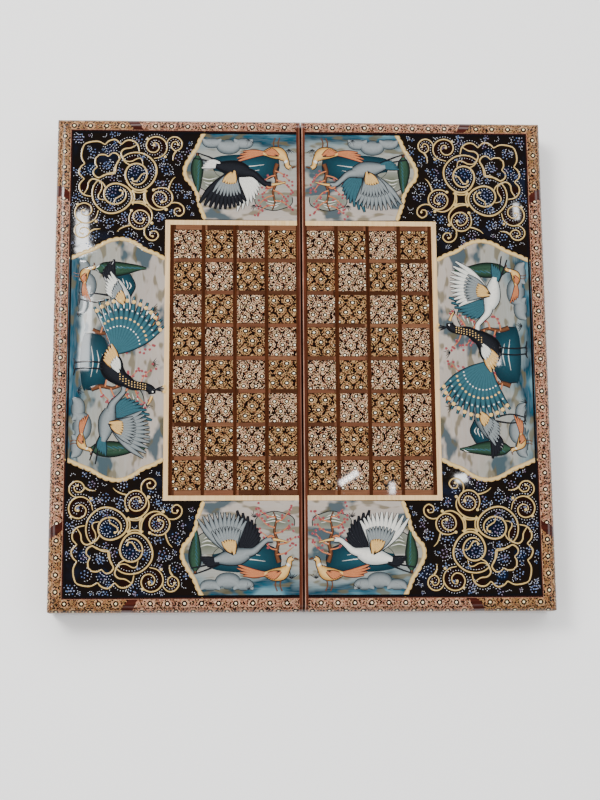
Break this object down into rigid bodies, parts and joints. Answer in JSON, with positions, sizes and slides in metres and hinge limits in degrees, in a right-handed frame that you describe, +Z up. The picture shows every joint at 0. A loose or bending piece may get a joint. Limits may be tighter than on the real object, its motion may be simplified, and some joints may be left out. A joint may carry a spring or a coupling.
{
  "type": "folding chess and backgammon box",
  "caption": "Folding wooden games box, open flat: inlaid chess board outside with a painted border, backgammon field inside, two trays hinged along the middle.",
  "frame": {"origin": "under the middle of the seam, on the table that the hinge barrels touch", "axes": "+Z up out of the chess side, +Y along the seam towards the rear edge, +X across to the right half"},
  "size_m": [0.5, 0.505, 0.0464],
  "materials": {
    "plywood": "matte",
    "carcass_wood": "matte",
    "khatam_gold": "high gloss lacquer",
    "khatam_rose": "high gloss lacquer",
    "khatam_side": "high gloss lacquer",
    "dark_wood": "high gloss lacquer",
    "brown_wood": "high gloss lacquer",
    "cream_wood": "high gloss lacquer",
    "lacquer_paint": "high gloss lacquer over paint",
    "field_wood": "satin lacquer",
    "point_wood": "satin lacquer",
    "rim_wood": "satin lacquer",
    "hinge_brass": "polished",
    "magnet_steel": "satin"
  },
  "bodies": {
    "left_half": {"left_core_board": "plywood", "left_outer_wall": "carcass_wood", "left_rear_wall": "carcass_wood", "left_front_wall": "carcass_wood", "left_hinge_wall": "carcass_wood", "left_edge_corners": "khatam_gold", "left_leaf_dividers": "dark_wood", "left_edge_middles": "khatam_rose", "left_side_lines": "dark_wood", "left_side_sheets": "khatam_side", "left_seam_strip": "brown_wood", "left_field_fillet": "dark_wood", "left_painted_panel": "lacquer_paint", "left_cream_line": "cream_wood", "left_square_lattice": "brown_wood", "left_light_squares": "khatam_rose", "left_dark_squares": "khatam_gold", "left_tray_panel": "field_wood", "left_light_points": "cream_wood", "left_dark_points": "point_wood", "left_tray_lining": "brown_wood", "left_hinge_leaves": "hinge_brass", "left_hinge_screws": "hinge_brass", "left_rim_magnet": "magnet_steel", "left_rim_strips": "rim_wood", "hinge_pins": "hinge_brass"},
    "right_half": {"right_core_board": "plywood", "right_outer_wall": "carcass_wood", "right_rear_wall": "carcass_wood", "right_front_wall": "carcass_wood", "right_hinge_wall": "carcass_wood", "right_edge_corners": "khatam_gold", "right_leaf_dividers": "dark_wood", "right_edge_middles": "khatam_rose", "right_side_lines": "dark_wood", "right_side_sheets": "khatam_side", "right_seam_strip": "brown_wood", "right_field_fillet": "dark_wood", "right_painted_panel": "lacquer_paint", "right_cream_line": "cream_wood", "right_square_lattice": "brown_wood", "right_light_squares": "khatam_rose", "right_dark_squares": "khatam_gold", "right_tray_panel": "field_wood", "right_light_points": "cream_wood", "right_dark_points": "point_wood", "right_tray_lining": "brown_wood", "right_hinge_leaves": "hinge_brass", "right_hinge_screws": "hinge_brass", "right_rim_magnet": "magnet_steel", "right_rim_strips": "rim_wood"}
  },
  "joints": [
    {"name": "fold", "type": "hinge", "parent": "left_half", "child": "right_half", "pos_m": [0, 0, 0.0022], "axis": [0, 1, 0], "range_deg": [0, 180]}
  ]
}
